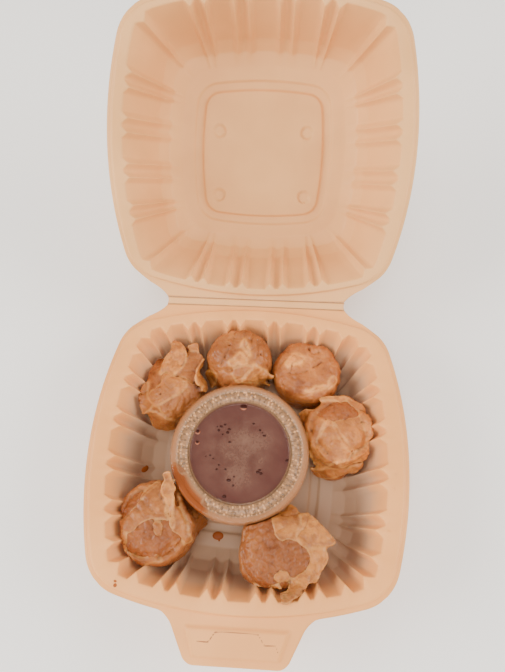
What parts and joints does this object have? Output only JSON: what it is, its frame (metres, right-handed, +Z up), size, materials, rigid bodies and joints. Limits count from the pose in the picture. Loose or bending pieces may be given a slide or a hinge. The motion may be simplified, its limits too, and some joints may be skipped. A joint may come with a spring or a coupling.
{
  "type": "siu mai dumplings in a takeaway box",
  "caption": "Steamed siu mai dumplings round a lidded pot of dip, in a fluted tan plastic takeaway box with a hinged lid that stands open.",
  "frame": {"origin": "on the table, under the middle of the open box's bounding box", "axes": "+Z up; +Y from the front closing tab over the tray to the hinge and the lid; +X to the right as seen from the front tab"},
  "size_m": [0.1506, 0.2936, 0.1405],
  "materials": {
    "box_plastic": "satin tan moulded sheet",
    "pot_plastic": "clear, fogged with condensation",
    "dip": "dark oily dip with paler blotches",
    "wrapper": "moist translucent steamed wrapper",
    "filling": "moist brown minced filling"
  },
  "bodies": {
    "tray": {"base_tray": "box_plastic", "dip_pot": "pot_plastic", "pot_lid": "pot_plastic", "dip_sauce": "dip", "siu_mai_1": "wrapper", "siu_mai_2": "wrapper", "siu_mai_3": "wrapper", "siu_mai_4": "wrapper", "siu_mai_5": "wrapper", "siu_mai_6": "wrapper", "filling_4": "filling", "filling_5": "filling", "filling_6": "filling"},
    "strip": {"hinge_strip": "box_plastic"},
    "lid": {"lid": "box_plastic"}
  },
  "joints": [
    {"name": "tray_crease", "type": "hinge", "parent": "tray", "child": "strip", "pos_m": [0, 0.01617, 0.0364], "axis": [1, 0, 0], "range_deg": [-19.5, 70.4]},
    {"name": "lid_crease", "type": "hinge", "parent": "strip", "child": "lid", "pos_m": [0, 0.01985, 0.03771], "axis": [1, 0, 0], "range_deg": [-19.5, 70.4]}
  ],
  "couplings": [
    {"joint": "tray_crease", "follows": "lid_crease", "ratio": 1}
  ]
}
